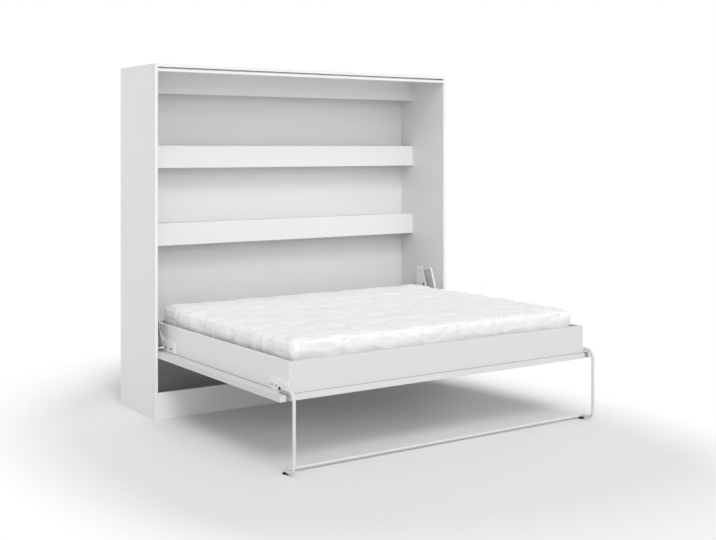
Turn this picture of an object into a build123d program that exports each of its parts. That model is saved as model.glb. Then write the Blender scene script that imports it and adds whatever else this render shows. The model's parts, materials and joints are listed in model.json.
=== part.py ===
from build123d import *
import math
import os

# A wall bed whose double mattress lies lengthwise along its cabinet.
# Millimetres. The origin is the centre of the cabinet's footprint on the floor,
# +X to the right, -Y out of the cabinet's open front, +Z up.

# Cabinet
cabinet_depth = 530
board = 19
cross_board_height = 143
back_board = 8
back_recess = 19
back_groove = 6
stop_gap = 11
stop_strip = 16
stop_strip_depth = 70
shelf_front_setback = 362
upper_shelf_height = 1658
lower_shelf_height = 1160
fixing_rail_height = 100
fixing_hole_spacing = 1600
fixing_hole_bore = 8
biscuit_length = 50
biscuit_depth = 12
biscuit_thickness = 4
biscuit_edge_distance = 35
overrun = 5

# Bed
panel_thickness = 32
panel_side_gap = 2
pivot_setback = 143
panel_underside = 372
closing_gap = 4
swing_clearance = 3
rail_inset = 83
rail_height = 162
front_rail_setback = 17
mattress_length = 2000
mattress_width = 1600
mattress_thickness = 190
mattress_front_gap = 6
mattress_end_gap = 18
mattress_rear_setback = 195
mattress_underside = 491
mattress_corner = 70
mattress_edge_roll = 22
mattress_waist = 6
mattress_crown = 12
roll_start_share = 0.33
crown_start_width = 110
crown_full_width = 264
crown_start_share = 0.33
slat_thickness = 8
slat_width = 62
slats_per_row = 14
slat_middle_gap = 30
bearer_width = 25
bearer_height = 45
holder_wall = 4
holder_floor = 6
holder_length = 38
holder_play = 0.3
beam_width = 60
bracket_leg = 45
bracket_height = 60
bracket_sheet = 3

# Lift mechanism, one on each side
cheek = 2
channel_width = 54
cheek_rear_setback = 247
channel_bottom = 449
channel_top = 781
inner_front_bottom = 59
inner_front_top = 171
outer_front_bottom = 68
outer_front_knee = 53
outer_knee_height = 541
outer_front_top = 138
front_lip = 12
channel_screw_head = 13
channel_screw_inset = 26
channel_screw_head_height = 3
pivot_pin = 12
pin_head = 22
pin_head_height = 3
running_clearance = 0.05
bush_wall = 2
bush_flange = 26
bush_depth = 8
bush_end_gap = 0.3
arm_sheet = 4
arm_front_reach = 108
arm_strip_height = 68
arm_boss = 34
arm_floor_gap = 4
stud = 10
stud_reach = 90
stud_length = 40
stud_collar = 18
stud_collar_width = 3
anchor_setback = 200
anchor_height = 750
anchor_bolt = 8
anchor_head = 13
spring_diameter = 32
spring_wire = 4
spring_curls = 16
spring_side_gap = 4
spring_shank = 14
chords_per_curl = 8
eye_sweep = 310
eye_chords = 10
eye_clearance = 0.3
arm_bolt_head = 12
arm_bolt_head_height = 3
arm_bolt_first = 16
arm_bolt_second = 57
arm_bolt_height = 28
cap_bolt_head = 13
cap_bolt_head_height = 4
cap_bolt_setback = 162
cap_bolt_height = 664

# Leg frame
tube = 18
boss_step = 1.5
bend_chords = 3
tube_inset = 71
leg_pivot_from_front = 54
leg_pivot_height = 22
leg_reach = 72
top_bend = 45
foot_bend = 40
corner_bend = 25
foot_return = 97
foot_clearance = 10
pivot_boss = 24
leg_bolt = 10
leg_bolt_head = 17
leg_bolt_head_height = 4
leg_bolt_grip = 12
leg_plate_sheet = 2.5
leg_plate_length = 178
leg_plate_height = 68
leg_screw_head = 9
leg_screw_head_height = 2
leg_screw_first = 119.5
leg_screw_second = 161
leg_screw_height = 24
notch_inset = 58
notch_behind_pivot = 18
glide_pad = 38
glide_pad_height = 6
glide_neck = 18
glide_stem = 8
glide_stem_length = 16
glide_hole_clearance = 0.3
glide_seat_gap = 0.3

# Places worked out from the sizes above
rail_inner = mattress_length / 2 + mattress_end_gap
rail_outer = rail_inner + board
half_width = rail_outer + rail_inset
front_plane = -cabinet_depth / 2
back_plane = cabinet_depth / 2
inner_half = half_width - board
rail_reach = mattress_width + mattress_front_gap + board - mattress_rear_setback
panel_reach = rail_reach + front_rail_setback
closed_top = panel_underside + panel_reach + pivot_setback * 2
top_underside = closed_top + closing_gap + stop_strip + stop_gap
cabinet_height = top_underside + board
pivot_y = front_plane + pivot_setback
pivot_z = panel_underside + pivot_setback
kick_top = board + cross_board_height
swing_radius = math.hypot(pivot_z - kick_top - swing_clearance, pivot_setback - board)
rear_reach = math.sqrt(swing_radius ** 2 - pivot_setback ** 2)
panel_top = panel_underside + panel_thickness
panel_front = front_plane - panel_reach
rail_top = panel_top + rail_height
rail_front = panel_front + front_rail_setback
mattress_front = rail_front + board + mattress_front_gap
mattress_rear = mattress_front + mattress_width
rear_rail_front = mattress_rear + mattress_front_gap
rail_rear = rear_rail_front + board
slat_underside = mattress_underside - slat_thickness
bearer_top = slat_underside - holder_floor
back_front = back_plane - back_recess - back_board
channel_inner = inner_half - channel_width
leg_pivot_y = rail_front + leg_pivot_from_front
leg_pivot_z = panel_top + leg_pivot_height
tube_x = half_width - tube_inset
leg_front = leg_pivot_y - leg_pivot_from_front - leg_reach
bar_y = leg_front + foot_return
bar_z = foot_clearance + tube / 2


def slab(x_low, x_high, y_low, y_high, z_low, z_high):
    """A rectangular board between two corners."""
    size = (x_high - x_low, y_high - y_low, z_high - z_low)
    middle = ((x_low + x_high) / 2, (y_low + y_high) / 2, (z_low + z_high) / 2)
    return Pos(*middle) * Box(*size)


def rod_x(radius, x_start, x_end, y, z):
    """A round bar along X."""
    return Pos((x_start + x_end) / 2, y, z) * Rot(0, 90, 0) * Cylinder(radius, abs(x_end - x_start))


def rod_y(radius, x, y_start, y_end, z):
    """A round bar along Y."""
    return Pos(x, (y_start + y_end) / 2, z) * Rot(90, 0, 0) * Cylinder(radius, abs(y_end - y_start))


def rod_z(radius, x, y, z_start, z_end):
    """A round bar along Z."""
    return Pos(x, y, (z_start + z_end) / 2) * Cylinder(radius, abs(z_end - z_start))


def plate_x(points, x_start, x_end):
    """A flat plate with an outline in the YZ plane, between two X places."""
    outline = make_face(Plane.YZ * Polyline(*points, close=True))
    return Pos(x_start, 0, 0) * extrude(outline, x_end - x_start, dir=(1, 0, 0))


def other_side(shape):
    """The same piece on the left."""
    return mirror(shape, about=Plane.YZ)


def group(shapes):
    """Separate solids in one node."""
    return Compound(children=[solid for shape in shapes for solid in shape.solids()])


def hexagon_head(width, height, x, y, z, way):
    """A hexagon head that stands off along X from its bearing face."""
    seat = Plane(origin=(x, y, z), x_dir=(0, 0, 1), z_dir=(way, 0, 0))
    return extrude(seat * RegularPolygon(width / 2, 6, major_radius=False), height)


# Cabinet pieces
def corner_slots():
    """Flat biscuits that join the sides to the base and top, as slabs."""
    x = inner_half + board / 2
    half = biscuit_thickness / 2
    reach = biscuit_edge_distance + biscuit_length
    slabs = []
    for joint in (board, top_underside):
        low = joint - biscuit_depth
        high = joint + biscuit_depth
        for y in (front_plane + biscuit_edge_distance, back_plane - reach):
            right = slab(x - half, x + half, y, y + biscuit_length, low, high)
            slabs += [right, other_side(right)]
    return slabs


def corner_biscuits():
    return group(corner_slots())


def slotted(piece):
    """A cabinet board with its biscuit slots."""
    for slot in corner_slots():
        piece -= slot
    return piece


def side_panel():
    panel = slab(inner_half, half_width, front_plane, back_plane, board, top_underside)
    groove_inner = inner_half + back_groove
    panel -= slab(inner_half - overrun, groove_inner, back_front, back_front + back_board, 0, cabinet_height)
    return slotted(panel)


def top_panel():
    return slotted(slab(-half_width, half_width, front_plane, back_plane, top_underside, cabinet_height))


def base_panel():
    return slotted(slab(-half_width, half_width, front_plane, back_plane, 0, board))


def back_panel():
    reach = inner_half + back_groove
    panel = slab(-reach, reach, back_front, back_front + back_board, board, top_underside)
    for x, z in fixing_holes():
        panel -= rod_y(fixing_hole_bore / 2, x, back_front - overrun, back_plane, z)
    return panel


def fixing_holes():
    z = top_underside - fixing_rail_height / 2
    return [(-fixing_hole_spacing / 2, z), (fixing_hole_spacing / 2, z)]


def wall_fixing_rail():
    low = top_underside - fixing_rail_height
    rail = slab(-inner_half, inner_half, back_plane - back_recess, back_plane, low, top_underside)
    for x, z in fixing_holes():
        rail -= rod_y(fixing_hole_bore / 2, x, back_front, back_plane + overrun, z)
    return rail


def cross_board(setback, top):
    """One of the five boards of equal height that run between the sides."""
    front = front_plane + setback
    return slab(-inner_half, inner_half, front, front + board, top - cross_board_height, top)


def shelf(top):
    front = front_plane + shelf_front_setback + board
    return slab(-inner_half, inner_half, front, back_front, top - board, top)


def stop_rail():
    high = top_underside - stop_gap
    return slab(-inner_half, inner_half, front_plane, front_plane + stop_strip_depth, high - stop_strip, high)


# Lift mechanism pieces, right side
def inner_cheek():
    rear = front_plane + cheek_rear_setback
    points = [
        (front_plane + inner_front_bottom, channel_bottom),
        (rear, channel_bottom),
        (rear, channel_top),
        (front_plane + inner_front_top, channel_top),
    ]
    return plate_x(points, channel_inner, channel_inner + cheek)


def outer_cheek():
    rear = front_plane + cheek_rear_setback
    points = [
        (front_plane + outer_front_bottom, channel_bottom),
        (rear, channel_bottom),
        (rear, channel_top),
        (front_plane + outer_front_top, channel_top),
        (front_plane + outer_front_knee, outer_knee_height),
    ]
    return plate_x(points, inner_half - cheek, inner_half)


def channel_front_lip():
    """The narrow strip folded in along the sloping front of the outer cheek."""
    points = [
        (front_plane + outer_front_knee, outer_knee_height),
        (front_plane + outer_front_top, channel_top),
        (front_plane + outer_front_top + cheek, channel_top),
        (front_plane + outer_front_knee + cheek, outer_knee_height),
    ]
    return plate_x(points, inner_half - front_lip, inner_half - cheek)


def channel_screw_places():
    """Y, Z of the screws that hold the channel to the cabinet side."""
    rear = front_plane + cheek_rear_setback - channel_screw_inset
    front = front_plane + outer_front_top + channel_screw_inset
    low = channel_bottom + channel_screw_inset
    high = channel_top - channel_screw_inset
    return [(rear, low), (rear, high), (front, low), (front, high)]


def mechanism_channel():
    """A bent sheet: two cheeks joined at the rear, open to the front."""
    rear = front_plane + cheek_rear_setback
    web = slab(channel_inner, inner_half, rear - cheek, rear, channel_bottom, channel_top)
    channel = outer_cheek() + inner_cheek() + web + channel_front_lip()
    channel -= rod_x(pivot_pin / 2, channel_inner - overrun, inner_half + overrun, pivot_y, pivot_z)
    channel -= rod_x(anchor_bolt / 2, channel_inner - overrun, inner_half, anchor_y(), anchor_height)
    cap_y = front_plane + cap_bolt_setback
    channel -= rod_x(anchor_bolt / 2, channel_inner - overrun, channel_inner + cheek, cap_y, cap_bolt_height)
    return channel


def channel_screws():
    """Hexagon heads on the outer cheek."""
    heads = []
    for y, z in channel_screw_places():
        heads.append(hexagon_head(channel_screw_head, channel_screw_head_height, inner_half - cheek, y, z, -1))
    return group([shape for head in heads for shape in (head, other_side(head))])


def anchor_y():
    return front_plane + anchor_setback


def anchor_pin():
    """The bolt across the channel that carries the spring's upper end."""
    shank = rod_x(anchor_bolt / 2, channel_inner, inner_half - cheek, anchor_y(), anchor_height)
    return shank + hexagon_head(anchor_head, cheek, channel_inner, anchor_y(), anchor_height, -1)


def cap_bolt():
    y = front_plane + cap_bolt_setback
    head = hexagon_head(cap_bolt_head, cap_bolt_head_height, channel_inner, y, cap_bolt_height, -1)
    return head + rod_x(anchor_bolt / 2, channel_inner, channel_inner + cheek, y, cap_bolt_height)


def pivot_pin_piece():
    """The hinge pin, held in both cheeks, that the bed's bush turns on."""
    inner_end = rail_outer - bush_depth
    pin = rod_x(pivot_pin / 2, inner_end, inner_half - cheek, pivot_y, pivot_z)
    collar_start = channel_inner + cheek
    return pin + rod_x(pin_head / 2, collar_start, collar_start + pin_head_height, pivot_y, pivot_z)


# Bed pieces
def bed_panel():
    half = inner_half - panel_side_gap
    panel = slab(-half, half, panel_front, pivot_y + rear_reach, panel_underside, panel_top)
    outer = half_width - notch_inset
    notch_end = leg_pivot_y + notch_behind_pivot
    notch = slab(rail_outer, outer, panel_front - overrun, notch_end, 0, panel_top + overrun)
    return panel - notch - other_side(notch)


def side_rail():
    rail = slab(rail_inner, rail_outer, rail_front, rail_rear, panel_top, rail_top)
    bush_radius = pivot_pin / 2 + running_clearance + bush_wall
    bore_end = rail_outer - bush_depth - cheek
    rail -= rod_x(bush_radius, bore_end, rail_outer + overrun, pivot_y, pivot_z)
    grip_end = rail_outer - leg_bolt_grip
    return rail - rod_x(leg_bolt / 2, grip_end, rail_outer + overrun, leg_pivot_y, leg_pivot_z)


def end_rail(front):
    return slab(-rail_inner, rail_inner, front, front + board, panel_top, rail_top)


def frame_brackets():
    """Steel angles in the four inside corners of the bed frame."""
    pieces = []
    middle = panel_top + rail_height / 2
    low = middle - bracket_height / 2
    high = middle + bracket_height / 2
    for corner, into in ((rail_front + board, 1), (rear_rail_front, -1)):
        y_far = corner + into * bracket_leg
        y_sheet = corner + into * bracket_sheet
        along = slab(rail_inner - bracket_sheet, rail_inner, min(corner, y_far), max(corner, y_far), low, high)
        across = slab(rail_inner - bracket_leg, rail_inner, min(corner, y_sheet), max(corner, y_sheet), low, high)
        pieces.append(along + across)
    return group([shape for piece in pieces for shape in (piece, other_side(piece))])


def bearer(front):
    half = slat_centres()[-1] + slat_width / 2 + holder_wall + overrun
    return slab(-half, half, front, front + bearer_width, bearer_top - bearer_height, bearer_top)


def front_bearer_y():
    return rail_front + board


def rear_bearer_y():
    return rear_rail_front - bearer_width


def centre_beam():
    middle = (mattress_front + mattress_rear) / 2
    half = rail_inner
    return slab(-half, half, middle - beam_width / 2, middle + beam_width / 2, panel_top, bearer_top)


def slat_centres():
    pitch = mattress_length / slats_per_row
    first = -mattress_length / 2 + pitch / 2
    return [first + pitch * n for n in range(slats_per_row)]


def slat_rows():
    """Low and high Y of the front and the rear row of slats."""
    middle = (mattress_front + mattress_rear) / 2
    front = front_bearer_y() + holder_wall
    rear = rear_rail_front - holder_wall
    half_gap = slat_middle_gap / 2
    return [(front, middle - half_gap), (middle + half_gap, rear)]


def slat_row(span):
    low, high = span
    half = slat_width / 2
    return group([slab(x - half, x + half, low, high, slat_underside, mattress_underside) for x in slat_centres()])


def slat_holder(x, closed_end, into):
    """A plastic cap open towards the slat, with a floor and two cheeks."""
    half = slat_width / 2 + holder_wall
    far = closed_end + into * holder_length
    body = slab(x - half, x + half, min(closed_end, far), max(closed_end, far), bearer_top, mattress_underside)
    inside = slat_width / 2 + holder_play
    wall = closed_end + into * (holder_wall - holder_play)
    end = far + into * overrun
    floor = slat_underside
    return body - slab(x - inside, x + inside, min(wall, end), max(wall, end), floor, mattress_underside + overrun)


def slat_holders(row):
    low, high = slat_rows()[row]
    holders = []
    for x in slat_centres():
        holders.append(slat_holder(x, low - holder_wall, 1))
        holders.append(slat_holder(x, high + holder_wall, -1))
    return group(holders)


def mattress_section(inset, height):
    """A rounded rectangle across the mattress at one height."""
    length = mattress_length - inset * 2
    width = mattress_width - inset * 2
    middle = (mattress_front + mattress_rear) / 2
    plane = Plane((0, middle, mattress_underside + height))
    return plane * RectangleRounded(length, width, mattress_corner)


def mattress():
    """Rolled edges, sides drawn in at mid height and a low crown on top."""
    roll = mattress_edge_roll
    top = mattress_thickness
    crown = mattress_crown
    levels = [
        (roll, 0),
        (roll * roll_start_share, roll * roll_start_share),
        (0, roll),
        (mattress_waist, top / 2 - crown / 2),
        (0, top - crown - roll),
        (roll * roll_start_share, top - crown - roll * roll_start_share),
        (roll, top - crown),
        (crown_start_width, top - crown * crown_start_share),
        (crown_full_width, top),
    ]
    return loft([mattress_section(inset, height) for inset, height in levels], ruled=True)


def arm_outline():
    """The bed arm's flat shape: a low strip that rises to the pivot boss."""
    half = arm_boss / 2
    strip_top = panel_top + arm_strip_height
    strip_rear = pivot_y + arm_boss
    low = panel_top + arm_floor_gap
    front = front_plane - arm_front_reach
    return [
        (front, low),
        (strip_rear, low),
        (strip_rear, pivot_z),
        (pivot_y + half, pivot_z + half),
        (pivot_y - half, pivot_z + half),
        (pivot_y - stud_reach, strip_top),
        (front, strip_top),
    ]


def bed_arm():
    """The steel arm on the side rail with its hinge eye and spring stud."""
    arm = plate_x(arm_outline(), rail_outer, rail_outer + arm_sheet)
    bush_radius = pivot_pin / 2 + running_clearance + bush_wall
    arm -= rod_x(bush_radius, rail_outer - overrun, rail_outer + overrun, pivot_y, pivot_z)
    stud_y = pivot_y - stud_reach
    stud_z = pivot_z - stud_reach
    face = rail_outer + arm_sheet
    arm += rod_x(stud / 2, face, face + stud_length, stud_y, stud_z)
    tip = face + stud_length
    return arm + rod_x(stud_collar / 2, tip - stud_collar_width, tip, stud_y, stud_z)


def pivot_bush():
    """The plastic bush pressed into the arm and rail, with a flange as spacer."""
    outer_radius = pivot_pin / 2 + running_clearance + bush_wall
    face = rail_outer + arm_sheet
    flange_end = channel_inner - bush_end_gap
    sleeve = rod_x(outer_radius, rail_outer - bush_depth, face, pivot_y, pivot_z)
    flange = rod_x(bush_flange / 2, face, flange_end, pivot_y, pivot_z)
    bore = rod_x(pivot_pin / 2 + running_clearance, rail_inner, inner_half, pivot_y, pivot_z)
    return sleeve + flange - bore


def arm_bolts():
    face = rail_outer + arm_sheet
    heads = []
    for y in (front_plane + arm_bolt_first, front_plane - arm_bolt_second):
        heads.append(hexagon_head(arm_bolt_head, arm_bolt_head_height, face, y, panel_top + arm_bolt_height, 1))
    return group([shape for head in heads for shape in (head, other_side(head))])


# Springs
def spring_axis_x():
    return channel_inner + cheek + spring_side_gap + spring_diameter / 2


def eye_radius(pin):
    """Middle radius of the eye that turns round a pin."""
    return pin / 2 + eye_clearance + spring_wire / 2


def eye_points(centre, along, pin, turned_first):
    """Corners of an eye round a pin, from its free end to the shank or back."""
    step = math.radians(eye_sweep / eye_chords)
    reach = eye_radius(pin) / math.cos(step / 2)
    across = Vector(1, 0, 0).cross(along)
    points = []
    for n in range(eye_chords + 1):
        angle = step * (eye_chords - n)
        points.append(centre + along * (reach * math.cos(angle)) - across * (reach * math.sin(angle)))
    return points if turned_first else points[::-1]


def spring_path():
    """Centre line: an eye on the stud, a shank, the curls, a shank and an eye on the anchor bolt."""
    low = Vector(spring_axis_x(), pivot_y - stud_reach, pivot_z - stud_reach)
    high = Vector(spring_axis_x(), anchor_y(), anchor_height)
    along = (high - low).normalized()
    across = along.cross(Vector(1, 0, 0))
    low_eye = eye_points(low, along, stud, True)
    high_eye = eye_points(high, along * -1, anchor_bolt, False)
    start = low_eye[-1] + along * spring_shank
    end = high_eye[0] - along * spring_shank
    radius = (spring_diameter - spring_wire) / 2
    pitch = (end - start).length / spring_curls
    print("spring: least gap to itself", round(pitch - spring_wire, 2), "mm")
    curls = []
    for n in range(spring_curls * chords_per_curl + 1):
        angle = 2 * math.pi * n / chords_per_curl
        spoke = Vector(1, 0, 0) * math.cos(angle) + across * math.sin(angle)
        curls.append(start + spoke * radius + along * (pitch * n / chords_per_curl))
    return low_eye + [start] + curls + [end] + high_eye


def wire_ring(place, way, half):
    """Corners of the square wire across its first stretch."""
    side = way.cross(Vector(1, 0, 0)).normalized()
    up = side.cross(way)
    return [place + side * half, place + up * half, place - side * half, place - up * half]


def spring():
    """One unbroken square wire of straight stretches, mitred at every corner."""
    path = spring_path()
    ways = [(after - before).normalized() for before, after in zip(path, path[1:])]
    rings = [wire_ring(path[0], ways[0], spring_wire / 2)]
    for n, way in enumerate(ways):
        cut = (way + ways[min(n + 1, len(ways) - 1)]).normalized()
        rings.append([corner + way * ((path[n + 1] - corner).dot(cut) / way.dot(cut)) for corner in rings[-1]])
    faces = [flat_face(rings[0]), flat_face(rings[-1])]
    for near, far in zip(rings, rings[1:]):
        for n, corner in enumerate(near):
            faces.append(flat_face([corner, near[n - 1], far[n - 1], far[n]]))
    return Solid(Shell(faces))


def flat_face(corners):
    return Face(Wire.make_polygon(corners, close=True))


# Leg frame pieces
def bend_points(corner, before, after, radius):
    """Ends and inner corners of the short chords that make a bend."""
    centre = corner + (after - before) * radius
    step = math.pi / 2 / bend_chords
    angles = [step * n for n in range(bend_chords + 1)]
    return [centre + before * (radius * math.sin(a)) - after * (radius * math.cos(a)) for a in angles]


def half_bar():
    """The right half of the leg frame: arm, leg, returned foot and half the bar."""
    points = [
        Vector(tube_x, leg_pivot_y, leg_pivot_z),
        Vector(tube_x, leg_front, leg_pivot_z),
        Vector(tube_x, leg_front, bar_z),
        Vector(tube_x, bar_y, bar_z),
        Vector(0, bar_y, bar_z),
    ]
    ways = [(end - start).normalized() for start, end in zip(points, points[1:])]
    line = [points[0]]
    for n, radius in enumerate((top_bend, foot_bend, corner_bend)):
        line += bend_points(points[n + 1], ways[n], ways[n + 1], radius)
    line.append(points[-1])
    section = Plane(origin=points[0], z_dir=ways[0]) * Circle(tube / 2)
    return sweep(section, Polyline(*line), transition=Transition.RIGHT)


def leg_frame():
    """One bent bar: two arms, two legs, returned feet and the bar between them."""
    bar = half_bar()
    boss_half = tube / 2 - boss_step
    bar += rod_x(pivot_boss / 2, tube_x - boss_half, tube_x + boss_half, leg_pivot_y, leg_pivot_z)
    bar -= rod_x(leg_bolt / 2 + running_clearance, tube_x - tube, tube_x + tube, leg_pivot_y, leg_pivot_z)
    x, y = glide_place()
    bar -= rod_z(glide_stem / 2 + glide_hole_clearance, x, y, 0, bar_z + glide_seat_gap)
    return bar + other_side(bar)


def glide_place():
    """X, Y of the right glide, under the middle of the corner bend."""
    reach = corner_bend * (1 - math.sqrt(0.5))
    return tube_x - reach, bar_y - reach


def glide():
    """A black foot: a pad, a neck up to the bar and a screwed stem."""
    x, y = glide_place()
    top = foot_clearance - glide_seat_gap
    pad = rod_z(glide_pad / 2, x, y, 0, glide_pad_height)
    neck = rod_z(glide_neck / 2, x, y, glide_pad_height, top)
    return pad + neck + rod_z(glide_stem / 2, x, y, top, glide_stem_length)


def leg_plate():
    plate = slab(
        rail_outer,
        rail_outer + leg_plate_sheet,
        rail_front,
        rail_front + leg_plate_length,
        panel_top,
        panel_top + leg_plate_height,
    )
    return plate - rod_x(leg_bolt / 2, rail_inner, half_width, leg_pivot_y, leg_pivot_z)


def leg_screws():
    face = rail_outer + leg_plate_sheet
    heads = []
    for distance in (leg_screw_first, leg_screw_second):
        y = rail_front + distance
        z = panel_top + leg_screw_height
        heads.append(hexagon_head(leg_screw_head, leg_screw_head_height, face, y, z, 1))
    return group([shape for head in heads for shape in (head, other_side(head))])


def leg_bolt_piece():
    outer_face = tube_x + tube / 2 + running_clearance
    inner_end = rail_outer - leg_bolt_grip
    shank = rod_x(leg_bolt / 2, inner_end, outer_face, leg_pivot_y, leg_pivot_z)
    head_end = outer_face + leg_bolt_head_height
    return shank + rod_x(leg_bolt_head / 2, outer_face, head_end, leg_pivot_y, leg_pivot_z)


def both(shape):
    """A right piece and its mirror image in one node."""
    return group([shape, other_side(shape)])


def build():
    front_row, rear_row = slat_rows()
    nodes = {
        "side_panel_right": side_panel(),
        "side_panel_left": other_side(side_panel()),
        "top_panel": top_panel(),
        "base_panel": base_panel(),
        "back_panel": back_panel(),
        "wall_fixing_rail": wall_fixing_rail(),
        "corner_biscuits": corner_biscuits(),
        "kick_board": cross_board(0, kick_top),
        "rear_bottom_rail": cross_board(back_front - front_plane - board, kick_top),
        "valance_board": cross_board(shelf_front_setback, top_underside),
        "upper_shelf_lip": cross_board(shelf_front_setback, upper_shelf_height),
        "lower_shelf_lip": cross_board(shelf_front_setback, lower_shelf_height),
        "upper_shelf": shelf(upper_shelf_height),
        "lower_shelf": shelf(lower_shelf_height),
        "stop_strip": stop_rail(),
        "mechanism_channel_right": mechanism_channel(),
        "mechanism_channel_left": other_side(mechanism_channel()),
        "channel_screws": channel_screws(),
        "anchor_pins": both(anchor_pin()),
        "cap_bolts": both(cap_bolt()),
        "pivot_pins": both(pivot_pin_piece()),
        "spring_right": spring(),
        "spring_left": other_side(spring()),
        "bed_panel": bed_panel(),
        "side_rail_right": side_rail(),
        "side_rail_left": other_side(side_rail()),
        "front_rail": end_rail(rail_front),
        "rear_rail": end_rail(rear_rail_front),
        "frame_brackets": frame_brackets(),
        "front_bearer": bearer(front_bearer_y()),
        "rear_bearer": bearer(rear_bearer_y()),
        "centre_beam": centre_beam(),
        "slats_front": slat_row(front_row),
        "slats_rear": slat_row(rear_row),
        "slat_holders_front": slat_holders(0),
        "slat_holders_rear": slat_holders(1),
        "mattress": mattress(),
        "bed_arm_right": bed_arm(),
        "bed_arm_left": other_side(bed_arm()),
        "pivot_bushes": both(pivot_bush()),
        "arm_bolts": arm_bolts(),
        "leg_frame": leg_frame(),
        "glide_right": glide(),
        "glide_left": other_side(glide()),
        "leg_plate_right": leg_plate(),
        "leg_plate_left": other_side(leg_plate()),
        "leg_screws": leg_screws(),
        "leg_bolts": both(leg_bolt_piece()),
    }
    os.makedirs("parts", exist_ok=True)
    for name, shape in nodes.items():
        export_step(shape, f"parts/{name}.step")


build()
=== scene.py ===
import json
import math

import bmesh
import bpy
from mathutils import Matrix, Vector, noise


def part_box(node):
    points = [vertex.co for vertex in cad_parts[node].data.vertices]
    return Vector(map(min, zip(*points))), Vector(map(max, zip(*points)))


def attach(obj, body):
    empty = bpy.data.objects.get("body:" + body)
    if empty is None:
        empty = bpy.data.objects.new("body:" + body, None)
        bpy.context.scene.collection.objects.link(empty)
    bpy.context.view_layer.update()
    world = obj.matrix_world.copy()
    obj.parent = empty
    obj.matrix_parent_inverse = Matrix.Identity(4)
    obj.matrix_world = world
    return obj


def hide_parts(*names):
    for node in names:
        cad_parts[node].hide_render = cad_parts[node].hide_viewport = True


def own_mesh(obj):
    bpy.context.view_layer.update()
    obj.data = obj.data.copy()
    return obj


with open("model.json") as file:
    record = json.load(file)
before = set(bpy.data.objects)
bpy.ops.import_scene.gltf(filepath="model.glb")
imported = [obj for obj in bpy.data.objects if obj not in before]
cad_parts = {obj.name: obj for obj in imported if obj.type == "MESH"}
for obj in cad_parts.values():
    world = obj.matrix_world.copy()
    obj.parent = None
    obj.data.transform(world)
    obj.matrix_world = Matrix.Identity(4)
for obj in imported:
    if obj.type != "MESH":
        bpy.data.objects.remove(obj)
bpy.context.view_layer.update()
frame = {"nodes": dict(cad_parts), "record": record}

scene = bpy.context.scene


# Node helpers
def material(name):
    """A material with only a Principled shader, and its nodes."""
    made = bpy.data.materials.new(name)
    made.use_nodes = True
    nodes = made.node_tree.nodes
    return made, nodes["Principled BSDF"], nodes, made.node_tree.links


def place(nodes, links, scale=(1, 1, 1)):
    """Object coordinates stretched by a scale along each axis."""
    coordinates = nodes.new("ShaderNodeTexCoord")
    mapping = nodes.new("ShaderNodeMapping")
    mapping.inputs["Scale"].default_value = scale
    links.new(coordinates.outputs["Object"], mapping.inputs["Vector"])
    return mapping.outputs["Vector"]


def noise_at(nodes, links, vector, size, detail=3.0, roughness=0.5):
    """Noise whose grain is finer the larger its size value is."""
    texture = nodes.new("ShaderNodeTexNoise")
    texture.inputs["Scale"].default_value = size
    texture.inputs["Detail"].default_value = detail
    texture.inputs["Roughness"].default_value = roughness
    links.new(vector, texture.inputs["Vector"])
    return texture.outputs["Fac"]


def ramp(nodes, links, value, stops):
    """A colour ramp from (place, colour) pairs."""
    node = nodes.new("ShaderNodeValToRGB")
    elements = node.color_ramp.elements
    while len(elements) < len(stops):
        elements.new(0.5)
    for element, (where, colour) in zip(elements, stops):
        element.position = where
        element.color = (*colour, 1.0)
    links.new(value, node.inputs["Fac"])
    return node.outputs["Color"]


def spread(nodes, links, value, low, high):
    """A value between nought and one, drawn out between low and high."""
    node = nodes.new("ShaderNodeMapRange")
    node.inputs["To Min"].default_value = low
    node.inputs["To Max"].default_value = high
    links.new(value, node.inputs["Value"])
    return node.outputs["Result"]


def bump(nodes, links, shader, height, strength, distance, under=None):
    """Gives a shader fine relief, on top of another relief where one is given."""
    node = nodes.new("ShaderNodeBump")
    node.inputs["Strength"].default_value = strength
    node.inputs["Distance"].default_value = distance
    links.new(height, node.inputs["Height"])
    if under is not None:
        links.new(under, node.inputs["Normal"])
    links.new(node.outputs["Normal"], shader.inputs["Normal"])
    return node.outputs["Normal"]


def shade(colour, factor):
    return tuple(channel * factor for channel in colour)


# Materials
def laminate(name, colour, roughness, front_face_shade=None):
    """Satin melamine, faintly cloudy, or with painted light on faces away from the front and a darker
    painted tone on faces towards the front.
    """
    made, shader, nodes, links = material(name)
    vector = place(nodes, links)
    # Painted light: faces away from the front take the lighter colour, faces towards the front the darker
    # one
    if front_face_shade:
        facing = nodes.new("ShaderNodeVectorMath")
        facing.operation = "DOT_PRODUCT"
        facing.inputs[1].default_value = (0, -1, 0)
        links.new(nodes.new("ShaderNodeTexCoord").outputs["Normal"], facing.inputs[0])
        tint = ramp(nodes, links, facing.outputs["Value"], [(0.2, colour), (0.8, front_face_shade)])
    else:
        cloud = noise_at(nodes, links, vector, size=2.3, detail=2.0)
        tint = ramp(nodes, links, cloud, [(0.25, shade(colour, 0.985)), (0.75, colour)])
    links.new(tint, shader.inputs["Base Color"])
    fine = noise_at(nodes, links, vector, size=900.0, detail=2.0)
    links.new(spread(nodes, links, fine, roughness - 0.05, roughness + 0.06), shader.inputs["Roughness"])
    shader.inputs["Specular IOR Level"].default_value = 0.4
    pearl = noise_at(nodes, links, vector, size=1400.0, detail=1.0)
    bump(nodes, links, shader, pearl, strength=0.12, distance=0.0002)
    return made


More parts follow.
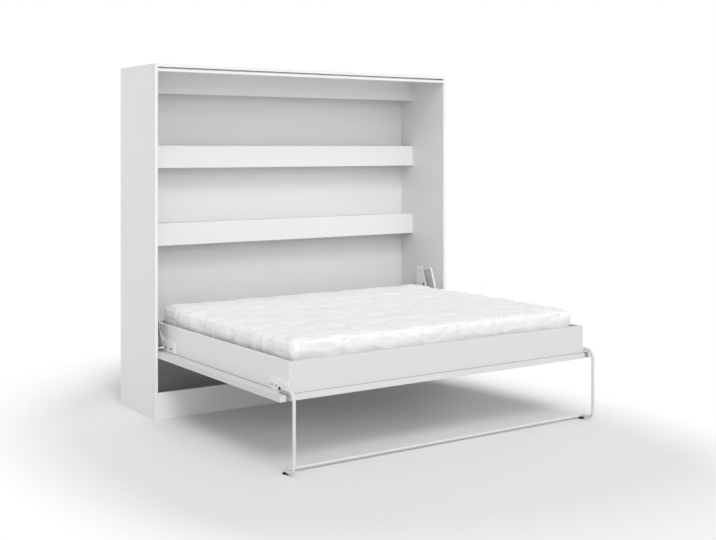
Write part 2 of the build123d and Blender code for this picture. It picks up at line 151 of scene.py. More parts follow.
def powder_coat(name, colour):
    """White powder coat with the low ripple of baked powder."""
    made, shader, nodes, links = material(name)
    vector = place(nodes, links)
    cloud = noise_at(nodes, links, vector, size=14.0)
    tint = ramp(nodes, links, cloud, [(0.3, shade(colour, 0.98)), (0.7, colour)])
    links.new(tint, shader.inputs["Base Color"])
    ripple = noise_at(nodes, links, vector, size=520.0, detail=2.0)
    links.new(spread(nodes, links, ripple, 0.26, 0.38), shader.inputs["Roughness"])
    shader.inputs["Coat Weight"].default_value = 0.25
    shader.inputs["Coat Roughness"].default_value = 0.2
    bump(nodes, links, shader, ripple, strength=0.2, distance=0.0003)
    return made


def zinc(name):
    """Zinc-plated steel with a drawn, slightly mottled surface."""
    made, shader, nodes, links = material(name)
    mottle = noise_at(nodes, links, place(nodes, links), size=160.0)
    tint = ramp(nodes, links, mottle, [(0.3, (0.50, 0.51, 0.53)), (0.7, (0.68, 0.69, 0.70))])
    links.new(tint, shader.inputs["Base Color"])
    shader.inputs["Metallic"].default_value = 1.0
    drawn = noise_at(nodes, links, place(nodes, links, (30, 900, 900)), size=1.0, detail=2.0)
    links.new(spread(nodes, links, drawn, 0.24, 0.42), shader.inputs["Roughness"])
    bump(nodes, links, shader, drawn, strength=0.15, distance=0.0002)
    return made


def moulded(name, colour, roughness):
    """Moulded plastic, or dull dark steel, with a fine grain."""
    made, shader, nodes, links = material(name)
    vector = place(nodes, links)
    cloud = noise_at(nodes, links, vector, size=60.0)
    tint = ramp(nodes, links, cloud, [(0.3, shade(colour, 0.85)), (0.7, colour)])
    links.new(tint, shader.inputs["Base Color"])
    grain = noise_at(nodes, links, vector, size=1500.0, detail=1.0)
    links.new(spread(nodes, links, grain, roughness - 0.05, roughness + 0.08), shader.inputs["Roughness"])
    bump(nodes, links, shader, grain, strength=0.25, distance=0.0002)
    return made


def wood(name, light, dark, along):
    """Plain birch with a straight grain along X or Y."""
    made, shader, nodes, links = material(name)
    stretch = (1.2, 14, 14) if along == "X" else (14, 1.2, 14)
    fine_stretch = tuple(9 * side for side in stretch)
    bands = noise_at(nodes, links, place(nodes, links, stretch), size=3.0, detail=5.0, roughness=0.6)
    fine = noise_at(nodes, links, place(nodes, links, fine_stretch), size=4.0)
    mixed = nodes.new("ShaderNodeMath")
    mixed.operation = "MULTIPLY_ADD"
    mixed.inputs[1].default_value = 0.35
    links.new(fine, mixed.inputs[0])
    links.new(bands, mixed.inputs[2])
    tint = ramp(nodes, links, mixed.outputs[0], [(0.45, dark), (0.85, light)])
    links.new(tint, shader.inputs["Base Color"])
    links.new(spread(nodes, links, fine, 0.45, 0.65), shader.inputs["Roughness"])
    bump(nodes, links, shader, fine, strength=0.3, distance=0.0004)
    return made


def cover(name, colour):
    """A knitted mattress cover: fine wales, soft fleece sheen and faint unevenness."""
    made, shader, nodes, links = material(name)
    vector = place(nodes, links)
    cloud = noise_at(nodes, links, vector, size=9.0, detail=4.0)
    tint = ramp(nodes, links, cloud, [(0.3, shade(colour, 0.955)), (0.7, colour)])
    links.new(tint, shader.inputs["Base Color"])
    shader.inputs["Sheen Weight"].default_value = 0.25
    shader.inputs["Sheen Roughness"].default_value = 0.5
    shader.inputs["Specular IOR Level"].default_value = 0.3
    knit = nodes.new("ShaderNodeTexVoronoi")
    knit.inputs["Scale"].default_value = 1.0
    links.new(place(nodes, links, (420, 300, 300)), knit.inputs["Vector"])
    links.new(spread(nodes, links, knit.outputs["Distance"], 0.95, 0.75), shader.inputs["Roughness"])
    wrinkles = noise_at(nodes, links, vector, size=22.0, detail=4.0, roughness=0.55)
    soft = bump(nodes, links, shader, wrinkles, strength=0.35, distance=0.004)
    bump(nodes, links, shader, knit.outputs["Distance"], strength=0.35, distance=0.0006, under=soft)
    return made


WHITE = (0.735, 0.745, 0.74)
BED_WHITE = (0.60, 0.61, 0.604)
BIRCH_LIGHT, BIRCH_DARK = (0.80, 0.66, 0.45), (0.62, 0.47, 0.29)
SATIN = 0.38
looks = {
    "white_laminate": laminate("white_laminate", WHITE, SATIN),
    "back_laminate": laminate("back_laminate", (0.70, 0.71, 0.703), roughness=0.45),
    "bed_laminate": laminate("bed_laminate", BED_WHITE, SATIN),
    # The side rails' laminate is a lit copy of the bed's: painted lighter, with the bed's tone on faces
    # towards the front
    "side_laminate": laminate("side_laminate", (0.72, 0.73, 0.724), SATIN, front_face_shade=BED_WHITE),
    # A dark grey that paints the shadow at the joint of the rails and the panel
    "joint_shadow_grey": moulded("joint_shadow_grey", (0.075, 0.075, 0.073), roughness=0.6),
    "white_steel": powder_coat("white_steel", (0.80, 0.81, 0.80)),
    # The leg tube's powder coat is a darker copy of the white one: painted shade for the tube low by the
    # floor
    "tube_steel": powder_coat("tube_steel", (0.62, 0.63, 0.615)),
    "zinc_steel": zinc("zinc_steel"),
    "dark_steel": moulded("dark_steel", (0.045, 0.045, 0.047), roughness=0.35),
    "black_plastic": moulded("black_plastic", (0.018, 0.018, 0.019), roughness=0.42),
    "birch_wood": wood("birch_slats", BIRCH_LIGHT, BIRCH_DARK, along="Y"),
    "nylon": moulded("nylon", (0.74, 0.74, 0.71), roughness=0.45),
    "mattress_cover": cover("mattress_cover", (0.79, 0.80, 0.792)),
}
birch_beams = wood("birch_beams", BIRCH_LIGHT, BIRCH_DARK, along="X")
slot_of = {part["node"]: part["material_slot"] for part in frame["record"]["subparts"]}

BOARDS = ("side_panel", "top_panel", "base_panel", "kick_board", "rear_bottom", "valance",
          "upper_shelf", "lower_shelf", "stop_strip", "wall_fixing", "bed_panel",
          "side_rail", "front_rail", "rear_rail")
BEAMS = ("front_bearer", "rear_bearer", "centre_beam")
SHEET_STEEL = ("leg_plate", "bed_arm", "mechanism_channel")
DARK_FASTENERS = ("leg_screws", "arm_bolts", "leg_bolts")
BOARD_EDGE, WOOD_EDGE, STEEL_EDGE = 0.0009, 0.0015, 0.0004


def dress(node, edge=None):
    """Gives a CAD node its material and, on boards and sheets, softened edges."""
    piece = frame["nodes"][node]
    piece.data.materials.clear()
    piece.data.materials.append(birch_beams if node in BEAMS else looks[slot_of[node]])
    if edge:
        weld = piece.modifiers.new("weld", "WELD")
        weld.merge_threshold = 0.00001
        soft = piece.modifiers.new("soft edge", "BEVEL")
        soft.width = edge
        soft.segments = 2
        soft.limit_method = "ANGLE"
        soft.angle_limit = math.radians(50)
        soft.harden_normals = True


for node in frame["nodes"]:
    if node in DARK_FASTENERS:
        slot_of[node] = "dark_steel"
    # Side rails take the laminate with painted light on faces away from the front
    if node.startswith("side_rail"):
        slot_of[node] = "side_laminate"
    if node.startswith(BOARDS):
        dress(node, BOARD_EDGE)
    elif node.startswith(("slats", *BEAMS)):
        dress(node, WOOD_EDGE)
    elif node.startswith(SHEET_STEEL):
        dress(node, STEEL_EDGE)
    else:
        dress(node)


# Mattress
LOW, HIGH = (Vector(corner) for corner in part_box("mattress"))
MIDDLE = (LOW + HIGH) / 2
HALF = (HIGH - LOW) / 2

# The cover starts this far inside the mattress's box, and swells out to it
COVER_ROOM = 0.004
# Cuts along the length, the width and the thickness
CUTS = (70, 56, 6)
CORNER_RADIUS = 0.055

# Inset of a side at heights from the underside (-1) to the top (1)
END_PROFILE = ((-1.0, 0.020), (-0.7, 0.010), (-0.42, 0.006), (-0.14, 0.003),
               (0.14, 0.0), (0.42, 0.001), (0.7, 0.005), (1.0, 0.018))
SIDE_PROFILE = ((-1.0, 0.020), (-0.7, 0.014), (-0.42, 0.016), (-0.14, 0.015),
                (0.14, 0.008), (0.42, 0.004), (0.7, 0.001), (1.0, 0.005))

# How far the top lies down: everywhere, more towards the edges, and along an end or a side
TOP_DROP, EDGE_DROP, END_DROP, SIDE_DROP = 0.009, 0.008, 0.010, 0.003

# Honeycomb quilting: the width of a cell, and where the pattern starts
CELL = 0.2575
SEAM_START = (0.0338, 0.8953)
DOME_REACH, SEAM_REACH, GATHER_REACH = 0.055, 0.010, 0.030

# Band above the underside that stays flat, and the band over which the quilting fades in
FLAT_BAND, FADE_BAND = 0.012, 0.03

# Where the cover turns down: this far below the top and this far in from a side
TURN_DOWN, TURN_IN = 0.012, 0.03

# Depths of the unevenness: puckers at seams, broad waves, small waves, folds, gathers at the ends
PUCKER, WAVE, SMALL_WAVE, FOLD, END_GATHER, FINE_GATHER = 0.0022, 0.0052, 0.0022, 0.0030, 0.0042, 0.0014


def cut_box(half, cuts):
    """A closed box whose edges along each axis are cut into even lengths."""
    mesh = bmesh.new()
    bmesh.ops.create_cube(mesh, size=2)
    bmesh.ops.scale(mesh, vec=half, verts=mesh.verts)
    for axis in range(3):
        along = [edge for edge in mesh.edges
                 if abs((edge.verts[0].co - edge.verts[1].co)[axis]) > half[axis]]
        bmesh.ops.subdivide_edges(mesh, edges=along, cuts=cuts[axis], use_grid_fill=True)
    return mesh


def round_plan(point, half, radius):
    """Moves a point of the box so that the four upright edges are round."""
    inner = Vector((half.x - radius, half.y - radius))
    near = Vector((max(-inner.x, min(inner.x, point.x)), max(-inner.y, min(inner.y, point.y))))
    away = Vector((point.x - near.x, point.y - near.y))
    if away.length > 1e-6:
        away *= max(abs(away.x), abs(away.y)) / away.length
    return Vector((near.x + away.x, near.y + away.y, point.z))


def inset_at(profile, share):
    """How far a side stands in at a height, given as a share of half the thickness."""
    for (low_at, low_in), (high_at, high_in) in zip(profile, profile[1:]):
        if share <= high_at:
            return low_in + (high_in - low_in) * (share - low_at) / (high_at - low_at)
    return profile[-1][1]


def apply_modifiers(piece):
    graph = bpy.context.evaluated_depsgraph_get()
    done = bpy.data.meshes.new_from_object(piece.evaluated_get(graph))
    piece.modifiers.clear()
    piece.data = done


def swell(piece, rest, pressure, frames, limit):
    """Blows the cover up a little by cloth simulation, and caps how far each point moves."""
    pins = piece.vertex_groups.new(name="pins")
    pinned_below = min(point.z for point in rest) + 0.004
    for n, point in enumerate(rest):
        if point.z < pinned_below:
            pins.add([n], 1.0, "REPLACE")
    cloth = piece.modifiers.new("cloth", "CLOTH")
    cloth.settings.quality = 5
    cloth.settings.mass = 0.5
    cloth.settings.tension_stiffness = 40
    cloth.settings.compression_stiffness = 40
    cloth.settings.shear_stiffness = 20
    cloth.settings.bending_stiffness = 12
    cloth.settings.use_pressure = True
    cloth.settings.uniform_pressure_force = pressure
    cloth.settings.vertex_group_mass = "pins"
    cloth.settings.effector_weights.gravity = 0
    cloth.point_cache.frame_start = 1
    cloth.point_cache.frame_end = frames
    for step in range(1, frames + 1):
        scene.frame_set(step)
    apply_modifiers(piece)
    scene.frame_set(1)
    for vertex, start in zip(piece.data.vertices, rest):
        move = vertex.co - start
        if move.length > limit:
            vertex.co = start + move * (limit / move.length)


def seam_distance(u, w):
    """Distance to the nearest line of a slightly uneven honeycomb."""
    u += SEAM_START[0] + 0.005 * math.sin(w * 9.0 + 1.3)
    w += SEAM_START[1] + 0.006 * math.sin(u * 8.0 + 0.4)
    row_height = CELL * math.sqrt(0.75)
    to_centres = []
    row = math.floor(w / row_height)
    for r in range(row - 1, row + 3):
        shift = 0.5 * CELL * (r % 2)
        column = math.floor((u - shift) / CELL)
        for c in range(column - 1, column + 3):
            to_centres.append(math.hypot(u - (c * CELL + shift), w - r * row_height))
    to_centres.sort()
    return (to_centres[1] - to_centres[0]) / 2


def unrolled(point):
    """Place on the cover laid flat, so that the quilting runs on down the sides, and if it is on an end."""
    drop = max(0.0, HIGH.z - TURN_DOWN - point.z)
    over_x = abs(point.x) - (HALF.x - TURN_IN)
    over_y = abs(point.y - MIDDLE.y) - (HALF.y - TURN_IN)
    u, w = point.x, point.y - MIDDLE.y
    on_end = over_x > max(0.0, over_y)
    if on_end:
        u += math.copysign(drop, u)
    elif over_y > 0:
        w += math.copysign(drop, w)
    return u, w, on_end


def uneven(x, y, seed, depth):
    return depth * noise.noise(Vector((x, y, seed)))


def crease(u, w, depth):
    """Fine soft folds of the cover, longer along the mattress than across it."""
    bent = w + 0.03 * noise.noise(Vector((u * 4, w * 4, 6.6)))
    return depth * (1 - min(1.0, 3.2 * abs(noise.noise(Vector((u * 6.5, bent * 21, 3.3))))))


def quilt(piece, puff, groove):
    """Sews the honeycomb in, lets its cells stand up, and gathers the cover at seams and ends."""
    normals = [vertex.normal.copy() for vertex in piece.data.vertices]
    moves = []
    for vertex in piece.data.vertices:
        point = vertex.co
        if point.z < LOW.z + FLAT_BAND:
            moves.append(0.0)
            continue
        u, w, on_end = unrolled(point)
        away = seam_distance(u, w)
        sewn = 0.35 if on_end else 1.0
        dome = puff * math.sin(min(1.0, away / DOME_REACH) * math.pi / 2)
        line = max(0.0, 1.0 - away / SEAM_REACH)
        gather = math.exp(-away / GATHER_REACH)
        ripple = uneven(u * 34, w * 34, 1.7, PUCKER * gather) + uneven(u * 7, w * 11, 5.1, WAVE)
        ripple += uneven(u * 16, w * 22, 9.4, SMALL_WAVE) + (0.0 if on_end else crease(u, w, FOLD))
        if on_end:
            ripple += (uneven(w * 30, point.z * 5, 2.2, END_GATHER)
                       + uneven(w * 70, point.z * 9, 8.2, FINE_GATHER))
        fade = min(1.0, (point.z - LOW.z - FLAT_BAND) / FADE_BAND)
        moves.append(fade * (dome * sewn - groove * line * sewn + ripple))
    for vertex, normal, move in zip(piece.data.vertices, normals, moves):
        vertex.co += normal * move


def flatten_underside(piece):
    """Joins the small flat faces that lie on the slats."""
    mesh = bmesh.new()
    mesh.from_mesh(piece.data)
    mesh.normal_update()
    under = {vertex for vertex in mesh.verts if vertex.normal.z < -0.9}
    for vertex in under:
        vertex.co.z = LOW.z + 0.001
    flat = [face for face in mesh.faces if all(vertex in under for vertex in face.verts)]
    bmesh.ops.delete(mesh, geom=flat, context="FACES")
    rim = [edge for edge in mesh.edges if edge.is_boundary]
    filled = bmesh.ops.holes_fill(mesh, edges=rim, sides=0)
    bmesh.ops.triangulate(mesh, faces=filled["faces"])
    mesh.to_mesh(piece.data)
    mesh.free()


def mattress():
    """A cut box with drawn-in sides, swollen as cloth and then quilted."""
    half = Vector([side - COVER_ROOM for side in HALF])
    shape = cut_box(half, CUTS)
    for vertex in shape.verts:
        flat = vertex.co.copy()
        share = flat.z / half.z
        on_end = abs(flat.x) > half.x - 0.001
        on_side = abs(flat.y) > half.y - 0.001
        point = round_plan(flat, half, CORNER_RADIUS)
        if on_end or on_side:
            inset = inset_at(END_PROFILE if on_end else SIDE_PROFILE, share)
            away = Vector((point.x * on_end, point.y * on_side, 0)).normalized()
            point -= away * inset
        if share > 0.99:
            span = max(abs(flat.x) / half.x, abs(flat.y) / half.y)
            rim_drop = END_DROP if on_end else SIDE_DROP if on_side else 0.0
            point.z -= TOP_DROP + EDGE_DROP * span ** 6 + rim_drop
        vertex.co = point + MIDDLE
    mesh = bpy.data.meshes.new("quilted_mattress")
    shape.to_mesh(mesh)
    shape.free()
    piece = bpy.data.objects.new("quilted_mattress", mesh)
    scene.collection.objects.link(piece)
    rest = [vertex.co.copy() for vertex in mesh.vertices]
    swell(piece, rest, pressure=3.0, frames=16, limit=0.006)
    round_off = piece.modifiers.new("round", "SUBSURF")
    round_off.levels = 2
    round_off.render_levels = 2
    apply_modifiers(piece)
    quilt(piece, puff=0.0040, groove=0.0050)
    flatten_underside(piece)
    for polygon in piece.data.polygons:
        polygon.use_smooth = True
    piece.data.materials.append(looks["mattress_cover"])
    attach(piece, "bed")
    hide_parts("mattress")


mattress()


# Leg frame, springs, glides and a strip of painted shadow
ALONG_X, ALONG_Z = (1, 0, 0), (0, 0, 1)


def new_piece(name, mesh, look, body, smooth=True):
    """Puts a finished mesh in the scene, riding on its body."""
    bmesh.ops.recalc_face_normals(mesh, faces=mesh.faces)
    data = bpy.data.meshes.new(name)
    mesh.to_mesh(data)
    mesh.free()
    data.materials.append(looks[look])
    for polygon in data.polygons:
        polygon.use_smooth = smooth
    piece = bpy.data.objects.new(name, data)
    scene.collection.objects.link(piece)
    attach(piece, body)
    return piece


def keep_creases(piece, degrees=35):
    """Smooth shading that leaves the sharper corners crisp."""
    mesh = bmesh.new()
    mesh.from_mesh(piece.data)
    for edge in mesh.edges:
        if len(edge.link_faces) == 2 and edge.calc_face_angle(0) > math.radians(degrees):
            edge.smooth = False
    mesh.to_mesh(piece.data)
    mesh.free()


def straight(mesh, ring, along):
    """Draws a ring of edges on along a straight run, and gives the ring at its end."""
    drawn = bmesh.ops.extrude_edge_only(mesh, edges=ring)["geom"]
    corners = [part for part in drawn if isinstance(part, bmesh.types.BMVert)]
    bmesh.ops.translate(mesh, vec=along, verts=corners)
    return [part for part in drawn if isinstance(part, bmesh.types.BMEdge) and all(
        sum(other in drawn for other in vert.link_edges) >= 2 for vert in part.verts)]


def bend(mesh, ring, centre, axis, degrees, steps=10):
    """Turns a ring of edges about a bend's centre, and gives the ring at its end."""
    verts = list({vert for edge in ring for vert in edge.verts})
    turned = bmesh.ops.spin(mesh, geom=verts + list(ring), cent=centre, axis=axis,
                            angle=math.radians(degrees), steps=steps, use_duplicate=False)
    return [part for part in turned["geom_last"] if isinstance(part, bmesh.types.BMEdge)]


def turned_round(mesh, corners, sides, centre, axis):
    """Turns an outline once round an axis."""
    bmesh.ops.spin(mesh, geom=corners + sides, cent=centre, axis=axis, angle=math.tau, steps=40,
                   use_merge=True)


def collar(mesh, x, y, z, inner, outer, half, edge):
    """A ring on an X axis, with eased rims."""
    profile = ((-half, inner), (-half, outer - edge), (-half + edge, outer),
               (half - edge, outer), (half, outer - edge), (half, inner))
    corners = [mesh.verts.new((x + along, y, z + away)) for along, away in profile]
    sides = [mesh.edges.new((a, b)) for a, b in zip(corners, corners[1:] + corners[:1])]
    turned_round(mesh, corners, sides, (x, y, z), ALONG_X)


# The leg frame's centre line: its uprights, bolts, tube ends, front, bar and bends
TUBE_RADIUS, TUBE_SIDES = 0.009, 28
LEG_X = 1.049
PIVOT_Y, PIVOT_Z = -1.641, 0.426
TUBE_END_Y = -1.648
FRONT_Y, BAR_Y, BAR_Z = -1.767, -1.670, 0.019
TOP_BEND, FOOT_BEND, CORNER_BEND = 0.045, 0.040, 0.025


def leg_frame():
    """One bent tube from the right bolt, down, across under the bed and up to the left bolt."""
    mesh = bmesh.new()
    ends = bmesh.ops.create_circle(mesh, cap_ends=False, segments=TUBE_SIDES, radius=TUBE_RADIUS)["verts"]
    bmesh.ops.rotate(mesh, verts=ends, cent=(0, 0, 0), matrix=Matrix.Rotation(math.radians(90), 3, "X"))
    bmesh.ops.translate(mesh, vec=(LEG_X, TUBE_END_Y, PIVOT_Z), verts=ends)
    top_y, top_z = FRONT_Y + TOP_BEND, PIVOT_Z - TOP_BEND
    foot_y, foot_z = FRONT_Y + FOOT_BEND, BAR_Z + FOOT_BEND
    corner_x, corner_y = LEG_X - CORNER_BEND, BAR_Y - CORNER_BEND
    first = list(mesh.edges)
    ring = straight(mesh, first, (0, top_y - TUBE_END_Y, 0))
    ring = bend(mesh, ring, (LEG_X, top_y, top_z), ALONG_X, 90)
    ring = straight(mesh, ring, (0, 0, foot_z - top_z))
    ring = bend(mesh, ring, (LEG_X, foot_y, foot_z), ALONG_X, 90)
    ring = straight(mesh, ring, (0, corner_y - foot_y, 0))
    ring = bend(mesh, ring, (corner_x, corner_y, BAR_Z), ALONG_Z, 90)
    ring = straight(mesh, ring, (-2 * corner_x, 0, 0))
    ring = bend(mesh, ring, (-corner_x, corner_y, BAR_Z), ALONG_Z, 90)
    ring = straight(mesh, ring, (0, foot_y - corner_y, 0))
    ring = bend(mesh, ring, (-LEG_X, foot_y, foot_z), ALONG_X, -90)
    ring = straight(mesh, ring, (0, 0, top_z - foot_z))
    ring = bend(mesh, ring, (-LEG_X, top_y, top_z), ALONG_X, -90)
    ring = straight(mesh, ring, (0, TUBE_END_Y - top_y, 0))
    for rim in (first, ring):
        bmesh.ops.holes_fill(mesh, edges=rim, sides=0)
    for side in (-1, 1):
        collar(mesh, side * LEG_X, PIVOT_Y, PIVOT_Z, inner=0.005, outer=0.012, half=0.0075, edge=0.0012)
    piece = new_piece("bent_leg_tube", mesh, "tube_steel", "leg")
    keep_creases(piece)
    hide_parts("leg_frame")


leg_frame()


# Pins that hold a spring, as (y, z), and the spring's eyes, shanks and coil
LOW_PIN, HIGH_PIN = (-0.212, 0.425), (-0.065, 0.750)
LOW_EYE, HIGH_EYE, SHANK = 0.0073, 0.0063, 0.014
COIL_RADIUS, TURNS, WIRE_RADIUS = 0.014, 40, 0.002
EYE_TURN, EYE_STEPS, COIL_STEPS = 310, 16, 12


def spring(name, x, node):
    """A drawn-out tension spring: hook eye, shank, coil, shank and hook eye of one wire."""
    low_pin, high_pin = Vector((x, *LOW_PIN)), Vector((x, *HIGH_PIN))
    along = (high_pin - low_pin).normalized()
    sideways = Vector(ALONG_X)
    across = along.cross(sideways)
    length = (high_pin - low_pin).length - LOW_EYE - HIGH_EYE - 2 * SHANK

    def eye(centre, size, towards):
        turns = [math.radians(EYE_TURN) * n / EYE_STEPS for n in range(EYE_STEPS + 1)]
        return [centre + towards * size * math.cos(turn) + across * size * math.sin(turn)
                for turn in turns]

    points = eye(low_pin, LOW_EYE, along)[::-1] + [low_pin + along * (LOW_EYE + SHANK * 0.6)]
    for n in range(TURNS * COIL_STEPS + 1):
        done = n / COIL_STEPS
        size = COIL_RADIUS * min(1.0, done / 0.5, (TURNS - done) / 0.5)
        turn = math.tau * done
        centre = low_pin + along * (LOW_EYE + SHANK + length * done / TURNS)
        points.append(centre + sideways * size * math.cos(turn) + across * size * math.sin(turn))
    points += [high_pin - along * (HIGH_EYE + SHANK * 0.6)] + eye(high_pin, HIGH_EYE, -along)
    wire = bpy.data.curves.new(name, "CURVE")
    wire.dimensions = "3D"
    line = wire.splines.new("NURBS")
    line.points.add(len(points) - 1)
    for control, point in zip(line.points, points):
        control.co = (*point, 1)
    line.order_u = 3
    line.use_endpoint_u = True
    wire.resolution_u = 2
    wire.bevel_depth = WIRE_RADIUS
    wire.bevel_resolution = 1
    wire.use_fill_caps = True
    drawn = bpy.data.objects.new(name + "_line", wire)
    scene.collection.objects.link(drawn)
    graph = bpy.context.evaluated_depsgraph_get()
    mesh = bmesh.new()
    mesh.from_mesh(bpy.data.meshes.new_from_object(drawn.evaluated_get(graph)))
    bpy.data.objects.remove(drawn)
    piece = new_piece(name, mesh, "zinc_steel", "cabinet")
    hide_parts(node)
    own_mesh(piece)


spring("wire_spring_right", 1.069, "spring_right")
spring("wire_spring_left", -1.069, "spring_left")


GLIDE_Y = -1.6773
# The glide's outline as (distance from its axis, height)
GLIDE_OUTLINE = ((0, 0), (0.0166, 0), (0.0184, 0.0006), (0.019, 0.0018), (0.019, 0.0046),
                 (0.0183, 0.0058), (0.0150, 0.0067), (0.0112, 0.0080), (0.0092, 0.0092),
                 (0.0090, 0.0098), (0.0040, 0.0098), (0.0040, 0.0155), (0.0035, 0.0160), (0, 0.0160))


def glide(name, x, body, node):
    """A moulded glide: rounded pad, cone and threaded stem, turned in one."""
    mesh = bmesh.new()
    corners = [mesh.verts.new((x + away, GLIDE_Y, up)) for away, up in GLIDE_OUTLINE]
    sides = [mesh.edges.new((a, b)) for a, b in zip(corners, corners[1:])]
    turned_round(mesh, corners, sides, (x, GLIDE_Y, 0), ALONG_Z)
    bmesh.ops.remove_doubles(mesh, verts=mesh.verts, dist=0.00002)
    piece = new_piece(name, mesh, "black_plastic", body)
    keep_creases(piece, 40)
    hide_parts(node)


glide("coned_glide_right", 1.0417, "glide_foot_right", "glide_right")
glide("coned_glide_left", -1.0417, "glide_foot_left", "glide_left")


# The strip of painted shadow stands just outside the rails, between these places along each axis
SHADOW_STRIP_IN_X, SHADOW_STRIP_OUT_X = 1.0350, 1.0374
SHADOW_STRIP_FRONT_Y, SHADOW_STRIP_INNER_Y, SHADOW_STRIP_REAR_Y = -1.6954, -1.6930, -0.0460
SHADOW_STRIP_LOW_Z, SHADOW_STRIP_FRONT_TOP_Z, SHADOW_STRIP_SIDE_TOP_Z = 0.4040, 0.4050, 0.4057


def panel_joint_shadow():
    """A thin dark strip painting the shadow where the rails meet the panel."""
    strips = (
        ((-SHADOW_STRIP_OUT_X, SHADOW_STRIP_FRONT_Y, SHADOW_STRIP_LOW_Z), (-SHADOW_STRIP_IN_X, SHADOW_STRIP_REAR_Y, SHADOW_STRIP_SIDE_TOP_Z)),
        ((SHADOW_STRIP_IN_X, SHADOW_STRIP_FRONT_Y, SHADOW_STRIP_LOW_Z), (SHADOW_STRIP_OUT_X, SHADOW_STRIP_REAR_Y, SHADOW_STRIP_SIDE_TOP_Z)),
        ((-SHADOW_STRIP_IN_X, SHADOW_STRIP_FRONT_Y, SHADOW_STRIP_LOW_Z), (SHADOW_STRIP_IN_X, SHADOW_STRIP_INNER_Y, SHADOW_STRIP_FRONT_TOP_Z)),
    )
    mesh = bmesh.new()
    for strip in strips:
        corner, other = (Vector(end) for end in strip)
        cube = bmesh.ops.create_cube(mesh, size=1)["verts"]
        bmesh.ops.scale(mesh, vec=other - corner, verts=cube)
        bmesh.ops.translate(mesh, vec=(other + corner) / 2, verts=cube)
    new_piece("panel_joint_shadow", mesh, "joint_shadow_grey", "bed", smooth=False)


panel_joint_shadow()


# Floor, light and camera
FLOOR_HALF_SIZE = 40
# The floor stands this far below the feet, so that the two don't share a plane
FLOOR_GAP = 0.0005
# Painted light and shade on the floor: its tone from the edge of an oval round the bed (0) to its middle
# (1), with a painted shadow round the bed and painted light under it
FLOOR_PAINTED_LIGHT_AND_SHADE = ((0.0, 0.92), (0.30, 0.76), (0.64, 0.76), (0.80, 0.86))
# How far the camera sees plain white instead, over a second oval
FLOOR_WHITENESS = ((0.08, 1.0), (0.34, 0.0))

CAMERA_PLACE = (-3.968, -6.601, 1.640)
CAMERA_HEADING = -34.354
CAMERA_LENS = 57.0
CAMERA_SENSOR = 36
CAMERA_SHIFT = -0.1696


def oval(nodes, links, centre, radii):
    """Falls from one at a centre on the floor to nought at an oval round it."""
    coordinates = nodes.new("ShaderNodeTexCoord")
    mapping = nodes.new("ShaderNodeMapping")
    mapping.inputs["Location"].default_value = (-centre[0] / radii[0], -centre[1] / radii[1], 0)
    mapping.inputs["Scale"].default_value = (1 / radii[0], 1 / radii[1], 1)
    links.new(coordinates.outputs["Object"], mapping.inputs["Vector"])
    gradient = nodes.new("ShaderNodeTexGradient")
    gradient.gradient_type = "SPHERICAL"
    links.new(mapping.outputs["Vector"], gradient.inputs["Vector"])
    return gradient.outputs["Fac"]


def grey_ramp(nodes, links, value, stops):
    """A ramp of greys from (place, level) pairs."""
    return ramp(nodes, links, value, [(where, (level, level, level)) for where, level in stops])


def floor():
    """A pale floor with a painted shadow round the bed and painted light under it, seen as plain white
    further out.
    """
    made, shader, nodes, links = material("studio_floor")
    # Painted shadow round the bed and painted light under it
    near = oval(nodes, links, centre=(0, -0.95), radii=(3.0, 2.6))
    links.new(grey_ramp(nodes, links, near, FLOOR_PAINTED_LIGHT_AND_SHADE), shader.inputs["Base Color"])
    shader.inputs["Roughness"].default_value = 0.6
    shader.inputs["Specular IOR Level"].default_value = 0.2
    path = nodes.new("ShaderNodeLightPath")
    around = oval(nodes, links, centre=(-0.35, -1.3), radii=(2.1, 3.6))
    both = nodes.new("ShaderNodeMath")
    both.operation = "MULTIPLY"
    links.new(grey_ramp(nodes, links, around, FLOOR_WHITENESS), both.inputs[0])
    links.new(path.outputs["Is Camera Ray"], both.inputs[1])
    white = nodes.new("ShaderNodeEmission")
    white.inputs["Strength"].default_value = 1.0
    mix = nodes.new("ShaderNodeMixShader")
    links.new(both.outputs[0], mix.inputs["Fac"])
    links.new(shader.outputs["BSDF"], mix.inputs[1])
    links.new(white.outputs["Emission"], mix.inputs[2])
    links.new(mix.outputs["Shader"], nodes["Material Output"].inputs["Surface"])
    sheet = bmesh.new()
    bmesh.ops.create_grid(sheet, x_segments=4, y_segments=4, size=FLOOR_HALF_SIZE)
    mesh = bpy.data.meshes.new("studio_floor")
    sheet.to_mesh(mesh)
    sheet.free()
    mesh.materials.append(made)
    piece = bpy.data.objects.new("studio_floor", mesh)
    piece.location = (0, 0, -FLOOR_GAP)
    scene.collection.objects.link(piece)


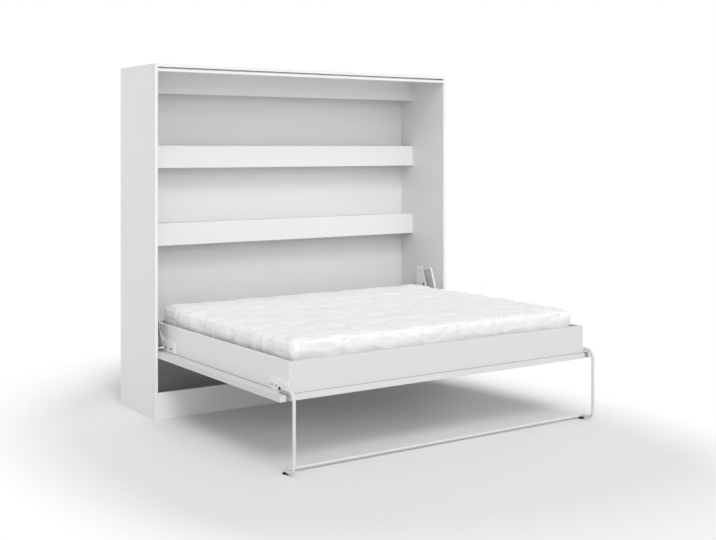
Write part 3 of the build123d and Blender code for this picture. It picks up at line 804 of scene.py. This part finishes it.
def skylight(name, come_from, strength, softness):
    """An even soft light from one direction."""
    light = bpy.data.lights.new(name, "SUN")
    light.energy = strength
    light.angle = math.radians(softness)
    lamp = bpy.data.objects.new(name, light)
    lamp.rotation_euler = (-Vector(come_from)).to_track_quat("-Z", "Y").to_euler()
    scene.collection.objects.link(lamp)


def surroundings(seen, horizon, zenith):
    """White seen behind the object, and softer white light from all round, stronger low down."""
    world = bpy.data.worlds.new("studio")
    scene.world = world
    world.use_nodes = True
    nodes, links = world.node_tree.nodes, world.node_tree.links
    nodes.clear()
    path = nodes.new("ShaderNodeLightPath")
    show = nodes.new("ShaderNodeBackground")
    show.inputs["Color"].default_value = (1, 1, 1, 1)
    show.inputs["Strength"].default_value = seen
    coordinates = nodes.new("ShaderNodeTexCoord")
    split = nodes.new("ShaderNodeSeparateXYZ")
    links.new(coordinates.outputs["Generated"], split.inputs["Vector"])
    give = nodes.new("ShaderNodeBackground")
    give.inputs["Color"].default_value = (1, 1, 1, 1)
    links.new(spread(nodes, links, split.outputs["Z"], horizon, zenith), give.inputs["Strength"])
    mix = nodes.new("ShaderNodeMixShader")
    out = nodes.new("ShaderNodeOutputWorld")
    links.new(path.outputs["Is Camera Ray"], mix.inputs["Fac"])
    links.new(give.outputs["Background"], mix.inputs[1])
    links.new(show.outputs["Background"], mix.inputs[2])
    links.new(mix.outputs["Shader"], out.inputs["Surface"])


def camera():
    """A level camera whose picture is shifted down, as in the photo."""
    data = bpy.data.cameras.new("camera")
    data.sensor_width = CAMERA_SENSOR
    data.lens = CAMERA_LENS
    data.shift_y = CAMERA_SHIFT
    data.clip_end = 200
    eye = bpy.data.objects.new("camera", data)
    eye.location = CAMERA_PLACE
    eye.rotation_euler = (math.radians(90), 0, math.radians(CAMERA_HEADING))
    scene.collection.objects.link(eye)
    scene.camera = eye


floor()
surroundings(seen=1.0, horizon=1.05, zenith=0.20)
skylight("front_light", come_from=(-0.22, -0.68, 0.70), strength=0.95, softness=20)
skylight("low_light", come_from=(-0.15, -0.92, 0.36), strength=0.50, softness=30)
skylight("top_light", come_from=(-0.10, -0.30, 0.95), strength=0.95, softness=60)
camera()
scene.view_settings.view_transform = "Standard"
